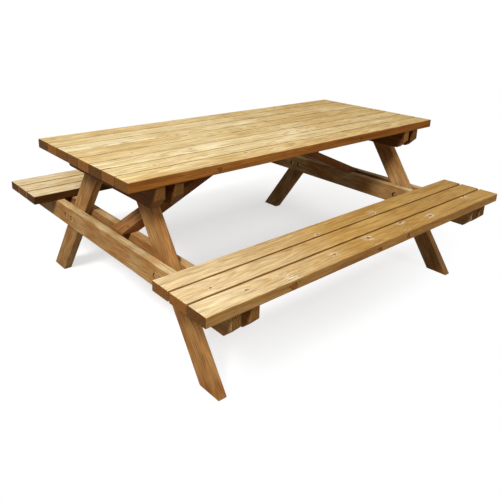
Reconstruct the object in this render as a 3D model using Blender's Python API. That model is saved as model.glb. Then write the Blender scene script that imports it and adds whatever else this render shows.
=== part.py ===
"""A-frame picnic table in planed softwood, modelled as the timbers, bolts and nuts that it is made of.

Metres, +Z up. The origin is on the ground under the middle of the table. +X runs along the length,
-Y is the front and the seats lie along both long sides. Every timber has the same planed section.
"""
import math

import bpy
from mathutils import Matrix

# Driving dimensions -------------------------------------------------------------------------------
BOARD_THICK = 0.038
BOARD_WIDTH = 0.088
FRAME_THICK = 0.038
FRAME_WIDTH = 0.088
ARRIS = 0.003                  # eased long edges and ends of every timber
CONTACT_GAP = 0.0003           # left between two faces that touch

TABLE_LENGTH = 1.800
TABLE_HEIGHT = 0.724
TOP_BOARDS = 8
TOP_GAP = 0.0033

OVERALL_WIDTH = 1.537          # outer edge of one seat to the outer edge of the other
SEAT_LENGTH = 1.790
SEAT_HEIGHT = 0.430
SEAT_BOARDS = 3
SEAT_GAP = 0.009

FRAME_SPACING = 1.466          # between the middles of the left and right legs
FOOT_SETBACK = 0.158           # middle of a foot behind the outer edge of its seat
LEG_HEAD_SPREAD = 0.2607       # between the middles of the front and back legs, at their tops

BEARER_SETBACK = 0.005         # bearer ends behind the edges of the boards that they carry
BEARER_CHAMFER = 0.040
BRACE_NOSE = 0.012             # each brace stops this far from the middle of the table

BOLT_DIAMETER = 0.010          # M10 coach bolt
BOLT_SPACING = 0.056
BOLT_HEAD_DIAMETER = 0.0235
BOLT_HEAD_HEIGHT = 0.005
BOLT_TAIL = 0.002              # thread that shows past the nut
HOLE_CLEARANCE = 0.001         # on the diameter, in the timber
HEAD_RECESS_DEPTH = 0.006
NUT_RECESS_DEPTH = 0.014
RECESS_DIAMETER = 0.027
NUT_ACROSS_FLATS = 0.0165
NUT_HEIGHT = 0.009
NUT_FLANGE_DIAMETER = 0.022
NUT_FLANGE_THICK = 0.002
NUT_CLEARANCE = 0.0008         # on the diameter, between the nut and the bolt
ROUND_SIDES = 12

# Sizes that follow from them ----------------------------------------------------------------------
TOP_WIDTH = TOP_BOARDS * BOARD_WIDTH + (TOP_BOARDS - 1) * TOP_GAP
TOP_UNDERSIDE = TABLE_HEIGHT - BOARD_THICK
SEAT_UNDERSIDE = SEAT_HEIGHT - BOARD_THICK
SEAT_WIDTH = SEAT_BOARDS * BOARD_WIDTH + (SEAT_BOARDS - 1) * SEAT_GAP
SEAT_MIDDLE_Y = OVERALL_WIDTH / 2 - SEAT_WIDTH / 2
TOP_BEARER_Z = TOP_UNDERSIDE - CONTACT_GAP - FRAME_WIDTH / 2
SEAT_BEARER_Z = SEAT_UNDERSIDE - CONTACT_GAP - FRAME_WIDTH / 2
BEARER_OFFSET = FRAME_THICK + CONTACT_GAP       # from the middle of a leg to the middle of a bearer
LEG_HEIGHT = TOP_UNDERSIDE - CONTACT_GAP
FOOT_Y = OVERALL_WIDTH / 2 - FOOT_SETBACK
LEG_SLOPE = (FOOT_Y - LEG_HEAD_SPREAD / 2) / LEG_HEIGHT
LEG_LEAN = math.atan(LEG_SLOPE)                 # from upright
FRAME_HALF_STACK = BEARER_OFFSET + FRAME_THICK / 2

PINE_TOP = (0.62, 0.42, 0.20)
PINE_FRAME = (0.45, 0.24, 0.08)
ZINC = (0.55, 0.55, 0.52)


def clear_scene():
    for item in list(bpy.data.objects):
        bpy.data.objects.remove(item, do_unlink=True)


def give_material(item, colour, roughness, metallic):
    material = bpy.data.materials.new(item.name)
    material.use_nodes = True
    shader = material.node_tree.nodes["Principled BSDF"]
    shader.inputs["Base Color"].default_value = (*colour, 1.0)
    shader.inputs["Roughness"].default_value = roughness
    shader.inputs["Metallic"].default_value = metallic
    item.data.materials.append(material)


def prism(name, outline, depth, turn=None):
    """A closed prism: outline is a list of (a, b) points, counter-clockwise, and depth runs along
    the third axis, centred on it. The prism is made in XY with its depth along Z, then turned."""
    count = len(outline)
    points = [(a, b, -depth / 2) for a, b in outline] + [(a, b, depth / 2) for a, b in outline]
    faces = [list(range(count))[::-1], list(range(count, 2 * count))]
    faces += [[i, (i + 1) % count, (i + 1) % count + count, i + count] for i in range(count)]
    mesh = bpy.data.meshes.new(name)
    mesh.from_pydata(points, [], faces)
    if turn is not None:
        mesh.transform(turn)
    mesh.update()
    item = bpy.data.objects.new(name, mesh)
    bpy.context.scene.collection.objects.link(item)
    return item


# Maps a prism's (a, b, depth) to (Y, Z, X) or to (X, Z, -Y), both without a mirror.
OUTLINE_IN_YZ = Matrix(((0, 0, 1, 0), (1, 0, 0, 0), (0, 1, 0, 0), (0, 0, 0, 1)))
OUTLINE_IN_XZ = Matrix(((1, 0, 0, 0), (0, 0, -1, 0), (0, 1, 0, 0), (0, 0, 0, 1)))


def ease_edges(item, width=ARRIS):
    bevel = item.modifiers.new("eased_edges", "BEVEL")
    bevel.width = width
    bevel.segments = 1
    bevel.limit_method = "ANGLE"
    bevel.angle_limit = math.radians(20)


def rectangle(length, width):
    return [(-length / 2, -width / 2), (length / 2, -width / 2),
            (length / 2, width / 2), (-length / 2, width / 2)]


def board(name, length, y, z_top):
    item = prism(name, rectangle(length, BOARD_WIDTH), BOARD_THICK)
    item.location = (0, y, z_top - BOARD_THICK / 2)
    ease_edges(item)
    give_material(item, PINE_TOP, 0.6, 0.0)


def board_rows(count, gap, middle_y):
    pitch = BOARD_WIDTH + gap
    return [middle_y + (i - (count - 1) / 2) * pitch for i in range(count)]


def bearer(name, x, z, half_length):
    """A rail across the table, with its two lower corners cut off."""
    half = FRAME_WIDTH / 2
    cut = BEARER_CHAMFER
    outline = [(-half_length + cut, -half), (half_length - cut, -half), (half_length, -half + cut),
               (half_length, half), (-half_length, half), (-half_length, -half + cut)]
    item = prism(name, outline, FRAME_THICK, OUTLINE_IN_YZ)
    item.location = (x, 0, z)
    ease_edges(item)
    give_material(item, PINE_FRAME, 0.65, 0.0)
    return item


def leg_middle_y(z):
    """Distance from the middle of the table to the middle of a leg at height z."""
    return FOOT_Y - LEG_SLOPE * z


def leg(name, x, side):
    """side is -1 at the front and +1 at the back. The foot and the head are cut level."""
    half = FRAME_WIDTH / math.cos(LEG_LEAN) / 2
    head_y = leg_middle_y(LEG_HEIGHT)
    outline = [(FOOT_Y - half, 0), (FOOT_Y + half, 0),
               (head_y + half, LEG_HEIGHT), (head_y - half, LEG_HEIGHT)]
    if side < 0:
        outline = [(-y, z) for y, z in reversed(outline)]
    item = prism(name, outline, FRAME_THICK, OUTLINE_IN_YZ)
    item.location = (x, 0, 0)
    ease_edges(item)
    give_material(item, PINE_FRAME, 0.65, 0.0)
    return item


def brace(name, side):
    """A flat-laid timber that rises from on top of the inner seat bearer to the middle of the top.
    side is -1 on the left and +1 on the right."""
    inner_face = FRAME_SPACING / 2 - FRAME_HALF_STACK
    end_x = FRAME_SPACING / 2 + FRAME_THICK / 2
    low = SEAT_UNDERSIDE
    high = TOP_UNDERSIDE - CONTACT_GAP
    slope = (high - low) / inner_face
    rise = FRAME_THICK * math.hypot(1, slope)
    upper_low = low + rise - slope * (end_x - inner_face)
    outline = [(BRACE_NOSE, high - slope * BRACE_NOSE), (inner_face, low), (end_x, low),
               (end_x, upper_low), (rise / slope, high), (BRACE_NOSE, high)]
    if side < 0:
        outline = [(-x, z) for x, z in reversed(outline)]
    item = prism(name, outline, FRAME_WIDTH, OUTLINE_IN_XZ)
    ease_edges(item, ARRIS / 2)
    give_material(item, PINE_FRAME, 0.65, 0.0)


def turned(name, profile, sides=ROUND_SIDES):
    """A closed solid of revolution about X. profile lists (x, radius) from one end to the other."""
    points = []
    faces = []
    rings = []
    for x, radius in profile:
        ring = []
        for i in range(sides):
            angle = 2 * math.pi * (i + 0.5) / sides
            ring.append(len(points))
            points.append((x, radius * math.cos(angle), radius * math.sin(angle)))
        rings.append(ring)
    for lower, upper in zip(rings, rings[1:]):
        faces += [[lower[i], lower[(i + 1) % sides], upper[(i + 1) % sides], upper[i]]
                  for i in range(sides)]
    faces.append(rings[0][::-1])
    faces.append(rings[-1])
    mesh = bpy.data.meshes.new(name)
    mesh.from_pydata(points, [], faces)
    mesh.update()
    item = bpy.data.objects.new(name, mesh)
    bpy.context.scene.collection.objects.link(item)
    return item


def smooth_round(item):
    item.data.shade_smooth()
    item.data.set_sharp_from_angle(angle=math.radians(40))


def subtract(item, cutter):
    cutter.hide_render = True
    cutter.display_type = "WIRE"
    cut = item.modifiers.new(cutter.name, "BOOLEAN")
    cut.operation = "DIFFERENCE"
    cut.solver = "EXACT"
    cut.object = cutter


# Along a bolt, x runs from the outer face of the outer bearer (0) to the inner face of the inner
# bearer (STACK). The head sits in the outer recess and the nut in the inner one.
STACK = 2 * FRAME_HALF_STACK
HEAD_SEAT = HEAD_RECESS_DEPTH
NUT_SEAT = STACK - NUT_RECESS_DEPTH


def bolt_cutter(name):
    hole = (BOLT_DIAMETER + HOLE_CLEARANCE) / 2
    recess = RECESS_DIAMETER / 2
    past = 0.002
    return turned(name, [(-past, recess), (HEAD_SEAT, recess), (HEAD_SEAT, hole),
                         (NUT_SEAT, hole), (NUT_SEAT, recess), (STACK + past, recess)])


def bolt(name):
    shank = BOLT_DIAMETER / 2
    head = BOLT_HEAD_DIAMETER / 2
    under_head = HEAD_SEAT - CONTACT_GAP
    crown = under_head - BOLT_HEAD_HEIGHT
    tip = NUT_SEAT + CONTACT_GAP + NUT_HEIGHT + BOLT_TAIL
    profile = [(crown, head * 0.45), (crown + BOLT_HEAD_HEIGHT * 0.3, head * 0.8), (under_head, head),
               (under_head, shank), (tip - shank * 0.3, shank), (tip, shank * 0.7)]
    item = turned(name, profile)
    smooth_round(item)
    give_material(item, ZINC, 0.35, 1.0)
    return item


def nut(name):
    """A flanged hexagon nut, with its flange against the floor of the recess."""
    bore = (BOLT_DIAMETER + NUT_CLEARANCE) / 2
    corner = NUT_ACROSS_FLATS / math.sqrt(3)
    flange = NUT_FLANGE_DIAMETER / 2
    base = NUT_SEAT + CONTACT_GAP
    step = base + NUT_FLANGE_THICK
    top = base + NUT_HEIGHT
    sides = ROUND_SIDES
    points = []
    for x, radius, hexagon in [(base, bore, False), (base, flange, False), (step, flange, False),
                               (step, corner, True), (top, corner, True), (top, bore, False)]:
        for i in range(sides):
            angle = 2 * math.pi * (i + 0.5) / sides
            reach = radius
            if hexagon and i % 2:
                reach = radius * math.cos(math.pi / 6)
            points.append((x, reach * math.cos(angle), reach * math.sin(angle)))
    faces = []
    rings = 6
    for ring in range(rings):
        start = ring * sides
        after = (ring + 1) % rings * sides
        for i in range(sides):
            j = (i + 1) % sides
            faces.append([start + i, start + j, after + j, after + i])
    mesh = bpy.data.meshes.new(name)
    mesh.from_pydata(points, [], faces)
    mesh.update()
    item = bpy.data.objects.new(name, mesh)
    bpy.context.scene.collection.objects.link(item)
    smooth_round(item)
    give_material(item, ZINC, 0.4, 1.0)
    return item


def place_on_stack(item, frame_side, y, z):
    """frame_side is -1 on the left and +1 on the right, where the stack is turned end for end."""
    item.location = (frame_side * (FRAME_SPACING / 2 + FRAME_HALF_STACK), y, z)
    if frame_side > 0:
        item.rotation_euler = (0, 0, math.pi)


def bolted_joint(label, frame_side, leg_side, z, timbers):
    """Two bolts, side by side, through an outer bearer, a leg and an inner bearer."""
    for number, shift in ((1, -BOLT_SPACING / 2), (2, BOLT_SPACING / 2)):
        y = leg_side * (leg_middle_y(z) + shift)
        ending = f"{label}_{number}"
        cutter = bolt_cutter("hole_" + ending)
        for item in (cutter, bolt("bolt_" + ending), nut("nut_" + ending)):
            place_on_stack(item, frame_side, y, z)
        for timber in timbers:
            subtract(timber, cutter)


def end_frame(frame_name, frame_side):
    middle_x = frame_side * FRAME_SPACING / 2
    legs = {side: leg(f"leg_{frame_name}_{word}", middle_x, side)
            for word, side in (("front", -1), ("back", 1))}
    levels = (("seat", SEAT_BEARER_Z, OVERALL_WIDTH / 2 - BEARER_SETBACK),
              ("top", TOP_BEARER_Z, TOP_WIDTH / 2 - BEARER_SETBACK))
    for level, z, half_length in levels:
        rails = [bearer(f"{level}_bearer_{frame_name}_{place}", middle_x + frame_side * offset,
                        z, half_length)
                 for place, offset in (("outer", BEARER_OFFSET), ("inner", -BEARER_OFFSET))]
        for word, side in (("front", -1), ("back", 1)):
            bolted_joint(f"{level}_{frame_name}_{word}", frame_side, side, z, [*rails, legs[side]])


def build():
    clear_scene()
    for number, y in enumerate(board_rows(TOP_BOARDS, TOP_GAP, 0), 1):
        board(f"top_board_{number}", TABLE_LENGTH, y, TABLE_HEIGHT)
    for word, side in (("front", -1), ("back", 1)):
        for number, y in enumerate(board_rows(SEAT_BOARDS, SEAT_GAP, SEAT_MIDDLE_Y), 1):
            board(f"seat_board_{word}_{number}", SEAT_LENGTH, side * y, SEAT_HEIGHT)
    for frame_name, frame_side in (("left", -1), ("right", 1)):
        end_frame(frame_name, frame_side)
        brace(f"brace_{frame_name}", frame_side)


build()
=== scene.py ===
"""Looks of a picnic table in planed, pressure-treated pine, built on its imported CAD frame."""
import itertools
import math
import random

import bpy
from mathutils import Matrix, Vector


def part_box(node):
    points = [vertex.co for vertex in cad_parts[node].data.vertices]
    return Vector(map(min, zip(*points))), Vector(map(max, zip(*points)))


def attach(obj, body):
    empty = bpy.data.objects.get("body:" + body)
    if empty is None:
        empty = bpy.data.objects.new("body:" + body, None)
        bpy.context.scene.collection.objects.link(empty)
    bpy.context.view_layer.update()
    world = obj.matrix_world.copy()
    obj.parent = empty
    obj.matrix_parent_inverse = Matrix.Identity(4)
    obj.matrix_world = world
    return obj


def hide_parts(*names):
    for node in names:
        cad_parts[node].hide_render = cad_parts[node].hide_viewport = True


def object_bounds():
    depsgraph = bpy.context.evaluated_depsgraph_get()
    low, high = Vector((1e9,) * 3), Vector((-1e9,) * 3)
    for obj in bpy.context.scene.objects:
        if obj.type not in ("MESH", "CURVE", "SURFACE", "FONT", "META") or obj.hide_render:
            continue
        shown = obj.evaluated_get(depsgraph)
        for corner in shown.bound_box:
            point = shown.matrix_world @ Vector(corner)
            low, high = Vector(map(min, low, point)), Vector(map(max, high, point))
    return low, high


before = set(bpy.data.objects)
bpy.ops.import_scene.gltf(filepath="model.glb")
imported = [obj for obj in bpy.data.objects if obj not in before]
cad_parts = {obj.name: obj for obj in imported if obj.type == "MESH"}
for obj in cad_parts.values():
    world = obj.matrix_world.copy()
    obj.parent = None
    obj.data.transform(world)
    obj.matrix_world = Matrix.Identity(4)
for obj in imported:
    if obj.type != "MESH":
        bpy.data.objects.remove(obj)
CAD_LOW, CAD_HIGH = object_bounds()

# Sizes in metres --------------------------------------------------------------------------------
ARRIS_RADIUS = 0.0030          # rounded by the planer on every long edge
BRACE_ARRIS_RADIUS = 0.0016
ARRIS_SEGMENTS = 3
BEARER_CHAMFER = 0.040
END_SHORTFALL = 0.0009         # boards are cut up to this share of their length short
ROUND_SIDES = 32

BOLT_HOLE = 0.011
BOLT_SHANK = 0.010
BOLT_HEAD = 0.0235
BOLT_HEAD_HEIGHT = 0.005
THREAD_PITCH = 0.0015
HEAD_RECESS = 0.006
NUT_RECESS = 0.014
RECESS = 0.027
NUT_FLATS = 0.0165
NUT_FLANGE = 0.022
NUT_FLANGE_THICK = 0.002
NUT_BORE = 0.0108
NUT_SIDES = 36
NUT_CHAMFER = 0.0010
EDGE_BREAK = 0.0006            # on bolt crowns, flanges and bores
CROWN_STEPS = 8
THREAD_TURNS = 8
THREAD_START = 0.0010
THREAD_END = 0.0145
THREAD_ROOT = 0.86             # of the shank's radius

SCREW_HEAD = 0.0085
SCREW_SHANK = 0.005
SCREW_SINK = 0.0008            # heads pulled just under the timber's face
SCREW_SIDES = 24
SCREW_CLEARANCE = 0.0003
HEAD_CLEARANCE = 0.0004
SOCKET_LOBE = 0.16             # of the socket's radius
COUNTERBORE = 0.012
COUNTERBORE_DEPTH = 0.016
BRACE_SCREW_X = 0.716
BRACE_SCREW_Y = 0.030
BRACE_HEAD_SCREW_X = 0.070
CUT_PAST = 0.002               # holes are cut this far past the face, so that they open cleanly

# Angles in degrees
TIMBER_SHARP = 50
FASTENER_SHARP = 32
BEVEL_ABOVE = 20

# Seeds, and the part of a log that a timber may come from: along, across and through it, in metres.
TOP_SEED = 11
TOP_TONE_SEED = 7924           # leaves the front and the back board of the top among the ripest
SEAT_SEEDS = (23, 31)
FRAME_SEED = 4
BOLT_SEED = 5
NUT_SEED = 7
SCREW_SEED = 9
BOARD_LOG = ((0.0, 40.0), (-0.035, 0.035), (0.03, 0.09))
TIMBER_LOG = ((0.0, 40.0), (-0.03, 0.03), (0.03, 0.09))

# How rich a timber's colour is, from 0 to 1, where it isn't left to chance.
TIMBER_TONES = {
    "leg_left_front": 0.95, "leg_left_back": 0.15, "seat_bearer_left_outer": 0.10,
    "leg_right_front": 0.05, "leg_right_back": 0.0, "seat_bearer_right_inner": 0.0,
}

SIDES = (("left", -1), ("right", 1))
ENDS = (("front", -1), ("back", 1))
TOP_NAMES = [f"top_board_{n}" for n in range(1, 9)]
SEAT_NAMES = [[f"seat_board_{end_name}_{n}" for n in (1, 2, 3)] for end_name, _ in ENDS]
FLOOR_GAP = 0.0004


# Material helpers -------------------------------------------------------------------------------
def linear(hex_colour):
    """An sRGB hex colour as linear RGBA."""
    parts = [int(hex_colour[i:i + 2], 16) / 255 for i in (1, 3, 5)]
    return (*[p / 12.92 if p <= 0.04045 else ((p + 0.055) / 1.055) ** 2.4 for p in parts], 1.0)


def add_node(tree, kind, inputs=None, stops=None, **settings):
    """Adds one node. Settings are its properties and inputs its sockets, by name or number. A socket is
    linked, a node is linked by its first live output, hex text is a colour, and all else is a plain
    value. Stops are a colour ramp's (place, hex colour) pairs."""
    made = tree.nodes.new(kind)
    for name, value in settings.items():
        setattr(made, name, value)
    if stops:
        points = made.color_ramp.elements
        while len(points) < len(stops):
            points.new(1.0)
        for point, (place, colour) in zip(points, stops):
            point.position = place
            point.color = linear(colour)
    for key, value in (inputs or {}).items():
        if isinstance(value, bpy.types.Node):
            value = next(output for output in value.outputs if output.enabled)
        if isinstance(value, bpy.types.NodeSocket):
            tree.links.new(value, made.inputs[key])
        elif isinstance(value, str) and value.startswith("#"):
            made.inputs[key].default_value = linear(value)
        else:
            made.inputs[key].default_value = value
    return made


def new_material(name):
    material = bpy.data.materials.new(name)
    material.use_nodes = True
    material.node_tree.nodes.clear()
    return material, material.node_tree


# The kinds of node that come up most.
MATH = "ShaderNodeMath"
VECTOR_MATH = "ShaderNodeVectorMath"
MAP_RANGE = "ShaderNodeMapRange"
MIX = "ShaderNodeMix"
NOISE = "ShaderNodeTexNoise"
SPLIT = "ShaderNodeSeparateXYZ"
JOIN = "ShaderNodeCombineXYZ"
CHANCE = "FunctionNodeRandomValue"

# A Mix node's sockets, and its settings for laying one colour over another and for staining.
FACTOR, NUMBER_A, NUMBER_B, COLOUR_A, COLOUR_B = 0, 2, 3, 6, 7
LAY_OVER = {"data_type": "RGBA"}
STAIN = {"data_type": "RGBA", "blend_type": "MULTIPLY"}

# How often each pattern repeats in a metre along, across and through the timber.
WANDER_SPREAD = (1.6, 5.0, 5.0)
FIBRE_SPREAD = (14.0, 200.0, 200.0)   # 5 mm wide, drawn far coarser than real fibres so that they show
SLIT_SPREAD = (11.0, 150.0, 150.0)
KNOT_SPREAD = (4.2, 10.5, 3.0)

WANDER = (0.0, 0.055, 0.055)          # metres
LEAST_LEAN = -0.030                   # of the board to the pith, metres in a metre
MOST_LEAN = 0.034
FLECK_TOP = 1.16                      # pale fibres are this much lighter than the wood
KNOT_SHARE = 0.42                     # of the places where a knot could stand
KNOT_ABSENT = 9.0                     # added to the distance where none stands
KNOT_SIZE = 0.085                     # in the knots' own stretched space
KNOT_REACH = 4.0                      # the knot ramps end at this many radii
KNOT_GAIN = 1.45                      # lets the plug's ramp stay within hex colours
END_SHUFFLE = 7.3                     # gives a board's end another chance value than its face
CHECK_FROM = 0.675                    # slits open above this height of their pattern
CHECK_TO = 0.73


# Treated pine -----------------------------------------------------------------------------------
def bent_log(tree, log):
    """The trunk wanders by a centimetre or two over half a metre."""
    slow = add_node(tree, VECTOR_MATH, {0: log, 1: WANDER_SPREAD}, operation="MULTIPLY")
    wander = add_node(tree, NOISE, {"Vector": slow, "Scale": 1.0, "Detail": 2.0})
    centred = add_node(tree, VECTOR_MATH, {0: wander.outputs["Color"], 1: (0.5, 0.5, 0.5)},
                       operation="SUBTRACT")
    bend = add_node(tree, VECTOR_MATH, {0: centred, 1: WANDER}, operation="MULTIPLY")
    return add_node(tree, VECTOR_MATH, {0: log, 1: bend}, operation="ADD")


def growth_rings(tree, grain, bent, tone, ring_width):
    """Rings round the pith. Boards are sawn at a slight angle to it, so the rings run out in long
    arches. Early wood is pale, and late wood ends each ring with a dark line."""
    along = add_node(tree, SPLIT, {0: grain}).outputs["X"]
    lean = add_node(tree, MAP_RANGE, {"Value": tone, "To Min": LEAST_LEAN, "To Max": MOST_LEAN})
    rise = add_node(tree, MATH, {0: along, 1: lean}, operation="MULTIPLY")
    parts = add_node(tree, SPLIT, {0: bent})
    depth = add_node(tree, MATH, {0: parts.outputs["Z"], 1: rise}, operation="ADD")
    flat = add_node(tree, JOIN, {"Y": parts.outputs["Y"], "Z": depth})
    radius = add_node(tree, VECTOR_MATH, {0: flat}, operation="LENGTH")
    turns = add_node(tree, MATH, {0: radius, 1: ring_width}, operation="DIVIDE")
    phase = add_node(tree, MATH, {0: turns}, operation="FRACT")
    return add_node(tree, "ShaderNodeValToRGB", {0: phase},
                    stops=((0.0, "#000000"), (0.45, "#303030"), (0.80, "#FFFFFF"), (0.90, "#FFFFFF"),
                           (1.0, "#000000")))


def grain_field(tree, looks):
    """Places each point in a log. Returns the log position, the timber's tone, and the height of the
    growth rings, streaks, fibres and drying slits there, each from 0 to 1."""
    grain = add_node(tree, "ShaderNodeAttribute", attribute_name="grain").outputs["Vector"]
    place = add_node(tree, "ShaderNodeAttribute", attribute_name="log_place").outputs["Vector"]
    tone = add_node(tree, "ShaderNodeAttribute", attribute_name="tone").outputs["Fac"]
    log = add_node(tree, VECTOR_MATH, {0: grain, 1: place}, operation="ADD")
    bent = bent_log(tree, log)
    field = {"log": log, "tone": tone, "rings": growth_rings(tree, grain, bent, tone, looks["ring_width"])}
    patterns = (("streaks", looks["streak"], 3.0), ("fibres", FIBRE_SPREAD, 3.0),
                ("slits", SLIT_SPREAD, 1.0))
    for name, spread, detail in patterns:
        drawn_out = add_node(tree, VECTOR_MATH, {0: bent, 1: spread}, operation="MULTIPLY")
        field[name] = add_node(tree, NOISE, {"Vector": drawn_out, "Scale": 1.0, "Detail": detail})
    return field


def chosen_knots(tree, knots):
    """Knots at chosen places: each is (x, y, z, radius, stretch), and stretch says how far it runs on
    along each axis. Returns the distance from the nearest one, in its own radii, roughened a little."""
    here = add_node(tree, "ShaderNodeTexCoord").outputs["Object"]
    nearest = None
    for x, y, z, radius, stretch in knots:
        offset = add_node(tree, VECTOR_MATH, {0: here, 1: (x, y, z)}, operation="SUBTRACT")
        scaled = add_node(tree, VECTOR_MATH,
                          {0: offset, 1: tuple(1 / (radius * part) for part in stretch)},
                          operation="MULTIPLY")
        reach = add_node(tree, VECTOR_MATH, {0: scaled}, operation="LENGTH")
        if nearest is not None:
            reach = add_node(tree, MATH, {0: nearest, 1: reach}, operation="MINIMUM")
        nearest = reach
    rough = add_node(tree, NOISE, {"Vector": here, "Scale": 120.0, "Detail": 2.0})
    wobble = add_node(tree, MAP_RANGE, {"Value": rough, "From Min": 0.3, "From Max": 0.7, "To Min": 0.50,
                                        "To Max": 1.50})
    return add_node(tree, MATH, {0: nearest, 1: wobble}, operation="MULTIPLY")


def scattered_knots(tree, log):
    """A few knots at random in the log, about 12 mm across and half a metre or so apart."""
    spread = add_node(tree, VECTOR_MATH, {0: log, 1: KNOT_SPREAD}, operation="MULTIPLY")
    cells = add_node(tree, "ShaderNodeTexVoronoi", {"Vector": spread, "Scale": 1.0})
    chance = add_node(tree, "ShaderNodeSeparateColor", {0: cells.outputs["Color"]})
    absent = add_node(tree, MATH, {0: chance, 1: KNOT_SHARE}, operation="GREATER_THAN")
    far = add_node(tree, MATH, {0: absent, 1: KNOT_ABSENT}, operation="MULTIPLY")
    reach = add_node(tree, MATH, {0: cells, 1: KNOT_SIZE}, operation="DIVIDE")
    return add_node(tree, MATH, {0: reach, 1: far}, operation="ADD")


def in_gap(tree, here, normal, looks):
    """Painted shade: above 0 on board edges in the shade of a gap, and 0 on all others."""
    across = add_node(tree, SPLIT, {0: here}).outputs["Y"]
    across = add_node(tree, MATH, {0: across}, operation="ABSOLUTE")
    across = add_node(tree, MATH, {0: across, 1: looks["rack_middle"]}, operation="SUBTRACT")
    across = add_node(tree, MATH, {0: across}, operation="ABSOLUTE")
    within = add_node(tree, MATH, {0: across, 1: looks["rack_reach"]}, operation="LESS_THAN")
    sideways = add_node(tree, SPLIT, {0: normal}).outputs["Y"]
    sideways = add_node(tree, MATH, {0: sideways}, operation="ABSOLUTE")
    return add_node(tree, MATH, {0: within, 1: sideways}, operation="MULTIPLY")


def planed_wood(tree, figure, painted_lit_face, gap_shade, looks):
    """Painted light: the upper face's pale colours over the sides' darker ones."""
    face = add_node(tree, MIX, {FACTOR: figure, COLOUR_A: looks["face_pale"],
                                COLOUR_B: looks["face_deep"]}, **LAY_OVER)
    side = add_node(tree, MIX, {FACTOR: figure, COLOUR_A: looks["side_pale"],
                                COLOUR_B: looks["side_deep"]}, **LAY_OVER)
    # Painted shade: edges that face a neighbouring board take the dark gap colour.
    side = add_node(tree, MIX, {FACTOR: gap_shade, COLOUR_A: side, COLOUR_B: looks["gap"]}, **LAY_OVER)
    return add_node(tree, MIX, {FACTOR: painted_lit_face, COLOUR_A: side, COLOUR_B: face}, **LAY_OVER)


def varied_wood(tree, wood, field, here, painted_lit_face, looks):
    """Tints the wood by tree, because neighbouring boards come from different ones, and in soft clouds.
    Also painted shade: each board turns darker and more amber towards the end where the light falls off."""
    by_tree = add_node(tree, MATH, {0: field["tone"], 1: looks["tone_range"]}, operation="MULTIPLY")
    drift = add_node(tree, NOISE, {"Vector": field["log"], "Scale": looks["cloud_scale"], "Detail": 2.0})
    clouds = add_node(tree, MAP_RANGE, {"Value": drift, "From Min": 0.35, "From Max": 0.65,
                                        "To Max": looks["cloud"]})
    # Painted shade: how far the wood darkens towards that end, on upper faces and on sides.
    most = add_node(tree, MAP_RANGE, {"Value": painted_lit_face, "To Min": looks["falloff_shade_side"],
                                      "To Max": looks["falloff_shade"]})
    along = add_node(tree, SPLIT, {0: here}).outputs["X"]
    falloff_shade = add_node(tree, MAP_RANGE, {"Value": along, "From Min": looks["falloff_shade_from"],
                                      "From Max": looks["falloff_shade_to"], "To Max": most})
    for share in (by_tree, clouds, falloff_shade):
        wood = add_node(tree, MIX, {FACTOR: share, COLOUR_A: wood, COLOUR_B: looks["tint"]}, **STAIN)
    return wood


def with_sawn_ends(tree, wood, field, looks):
    """Sawn ends show the rings as dark arcs, and each soaks up its own share of the treatment."""
    end = add_node(tree, "ShaderNodeAttribute", attribute_name="end_grain").outputs["Fac"]
    arcs = add_node(tree, MIX, {FACTOR: field["rings"], COLOUR_A: looks["end_pale"],
                                COLOUR_B: looks["end_deep"]}, **LAY_OVER)
    shuffled = add_node(tree, MATH, {0: field["tone"], 1: END_SHUFFLE}, operation="MULTIPLY")
    chance = add_node(tree, MATH, {0: shuffled}, operation="FRACT")
    depth = add_node(tree, MAP_RANGE, {"Value": chance, "To Min": 0.34, "To Max": 1.15})
    soaked = add_node(tree, VECTOR_MATH, {0: arcs, "Scale": depth}, operation="SCALE")
    return add_node(tree, MIX, {FACTOR: end, COLOUR_A: wood, COLOUR_B: soaked}, **LAY_OVER)


def with_fibres(tree, wood, field, looks):
    """Fibres lighten and darken the wood. Drying checks are short dark slits along the grain, drawn 2 to
    3 mm wide so that they show."""
    fleck = add_node(tree, MAP_RANGE, {"Value": field["fibres"], "From Min": 0.3, "From Max": 0.7,
                                       "To Min": looks["fleck"], "To Max": FLECK_TOP})
    flecked = add_node(tree, VECTOR_MATH, {0: wood, "Scale": fleck}, operation="SCALE")
    check = add_node(tree, MAP_RANGE, {"Value": field["slits"], "From Min": CHECK_FROM,
                                       "From Max": CHECK_TO, "To Max": looks["checks"]})
    return add_node(tree, MIX, {FACTOR: check, COLOUR_A: flecked, COLOUR_B: looks["check_tone"]},
                    **LAY_OVER)


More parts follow.
